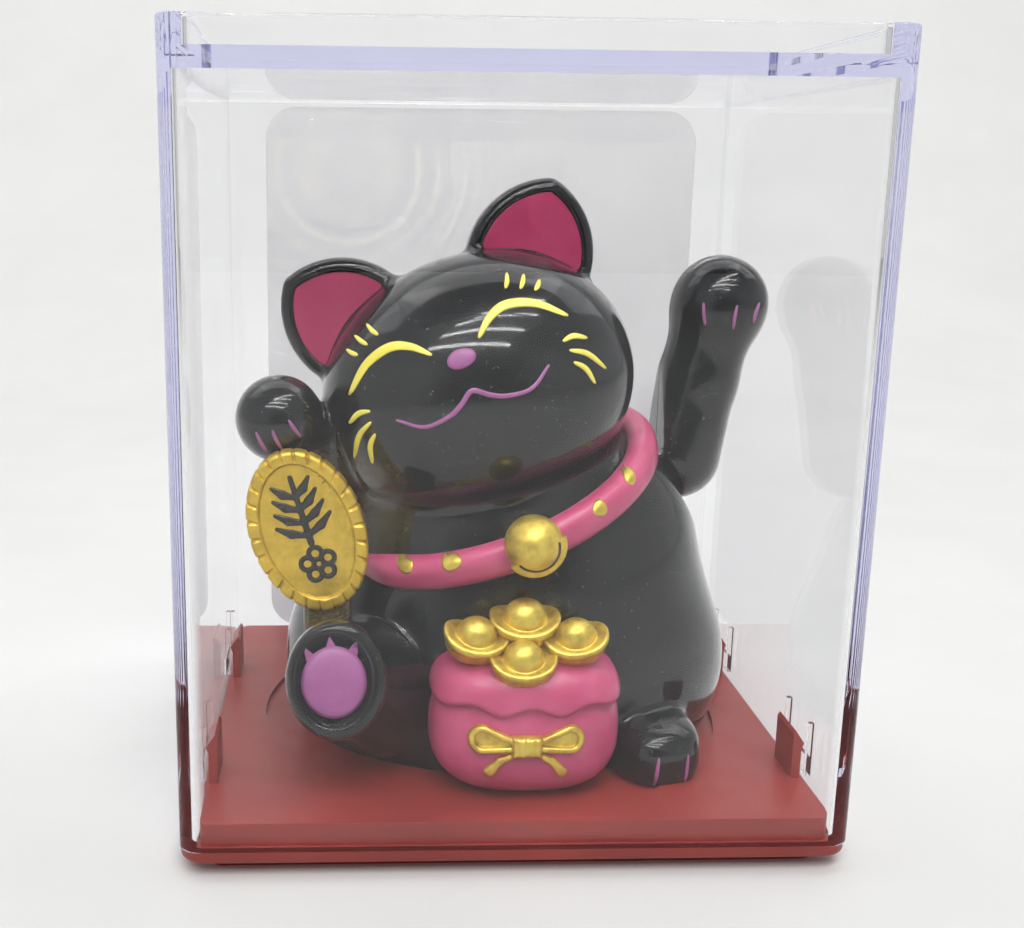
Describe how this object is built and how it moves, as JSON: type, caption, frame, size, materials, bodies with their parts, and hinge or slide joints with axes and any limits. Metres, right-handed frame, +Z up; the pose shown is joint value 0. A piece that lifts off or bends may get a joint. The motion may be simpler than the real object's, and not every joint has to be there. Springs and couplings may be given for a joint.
{
  "type": "beckoning cat figurine",
  "caption": "Glossy black beckoning cat with a swinging raised arm, coin and money bag, on a red display base under a clear lift-off cover.",
  "frame": {"origin": "centre of the underside of the base, on the surface the case stands on", "axes": "+Z up, the cat faces -Y, +X to the viewer's right of the cat"},
  "size_m": [0.1, 0.0902, 0.121],
  "materials": {
    "black_gloss": "glossy black lacquer over moulded plastic",
    "pink_paint": "satin pink paint",
    "crimson_paint": "satin crimson paint",
    "purple_paint": "satin purple paint",
    "yellow_paint": "satin yellow paint",
    "gold_paint": "satin gold paint",
    "red_plastic": "moulded red plastic, fine satin",
    "clear_plastic": "clear moulded polystyrene, polished",
    "label_film": "translucent pale printed film without text",
    "dark_plastic": "moulded dark plastic",
    "white_plastic": "moulded natural plastic",
    "steel": "bright steel",
    "brass": "turned brass",
    "copper": "enamelled copper wire",
    "board_green": "green solder resist",
    "magnet_plate": "nickel-plated magnet",
    "cell_wrap": "plain wrapped cell"
  },
  "bodies": {
    "base": {"display_base": "red_plastic", "battery_holder": "dark_plastic", "battery_cell": "cell_wrap", "contact_plate": "steel", "contact_spring": "steel", "switch_body": "dark_plastic", "cat_front_shell": "black_gloss", "cat_rear_shell": "black_gloss", "mechanism_frame": "white_plastic", "axle_bush_1": "brass", "axle_bush_2": "brass", "coil_bobbin": "white_plastic", "coil_winding": "copper", "circuit_board": "board_green", "transistor": "dark_plastic", "capacitor": "dark_plastic", "base_screws": "steel", "frame_screws": "steel", "shell_screws": "steel"},
    "arm": {"arm_front_half": "black_gloss", "arm_rear_half": "black_gloss", "arm_axle": "steel", "pendulum_lever": "white_plastic", "magnet": "magnet_plate", "counterweight": "steel", "axle_stop_1": "dark_plastic", "axle_stop_2": "dark_plastic"},
    "cover": {"clear_cover": "clear_plastic", "rear_label": "label_film"},
    "door": {"battery_door": "red_plastic"},
    "switch": {"switch_knob": "dark_plastic"}
  },
  "joints": [
    {"name": "arm_swing", "type": "hinge", "parent": "base", "child": "arm", "pos_m": [0.03, 0.004, 0.053], "axis": [1, 0, 0], "range_deg": [-16, 16]},
    {"name": "cover_lift", "type": "slide", "parent": "base", "child": "cover", "axis": [0, 0, 1], "range_m": [0, 0.125]},
    {"name": "battery_door_pull", "type": "slide", "parent": "base", "child": "door", "axis": [0, 0, -1], "range_m": [0, 0.03]},
    {"name": "switch_slide", "type": "slide", "parent": "base", "child": "switch", "axis": [1, 0, 0], "range_m": [0, 0.003]}
  ]
}
